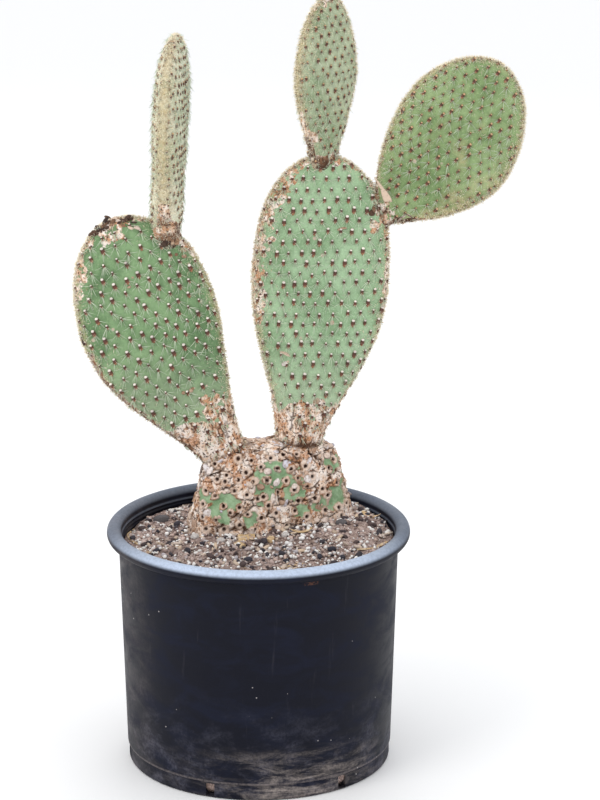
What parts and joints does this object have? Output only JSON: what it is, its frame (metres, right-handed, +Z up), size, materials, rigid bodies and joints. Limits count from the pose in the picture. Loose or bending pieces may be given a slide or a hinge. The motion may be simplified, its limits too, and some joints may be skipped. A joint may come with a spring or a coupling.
{
  "type": "potted cactus",
  "caption": "Paddle cactus in a round nursery pot: a thick old paddle stands in the soil as a trunk and carries flat oval paddles, and the pot stands on level ground.",
  "frame": {"origin": "centre of the pot's underside, on the ground", "axes": "+Z up, +X along the row of paddles towards the paddle that leans furthest out, -Y towards the front"},
  "size_m": [0.4383, 0.3, 0.7546],
  "materials": {
    "pot": "dusty matt blue-black plastic, smoother on the rim",
    "soil": "loose dark mix of bark, grit and white perlite",
    "cork": "cracked corky bark with green skin between the plates",
    "paddle": "waxy matt grey-green skin with brown tufts and fine pale bristles",
    "pale_paddle": "matt yellow-green skin, dense pale bristles",
    "olive_paddle": "matt olive-green skin with brown tufts and a cream bristly edge",
    "root": "rough brown root bark",
    "chip": "raw split wood",
    "dark_stone": "rough dark volcanic grit",
    "pale_stone": "chalky white perlite lump",
    "straw": "dry fibrous straw and leaf"
  },
  "bodies": {
    "root": {"pot": "pot", "soil": "soil", "trunk": "cork", "left_paddle": "paddle", "centre_paddle": "paddle", "upper_left_paddle": "pale_paddle", "crown_paddle": "paddle", "right_paddle": "olive_paddle", "root_1": "root", "root_2": "root", "root_3": "root", "root_4": "root", "root_5": "root", "wood_chip_1": "chip", "wood_chip_2": "chip", "wood_chip_3": "chip", "stone_1": "dark_stone", "stone_2": "pale_stone", "stone_3": "pale_stone", "stone_4": "dark_stone", "stone_5": "pale_stone", "straw_1": "straw", "straw_2": "straw", "straw_3": "straw", "dry_leaf_1": "straw", "dry_leaf_2": "straw", "dry_leaf_3": "straw"}
  },
  "joints": []
}
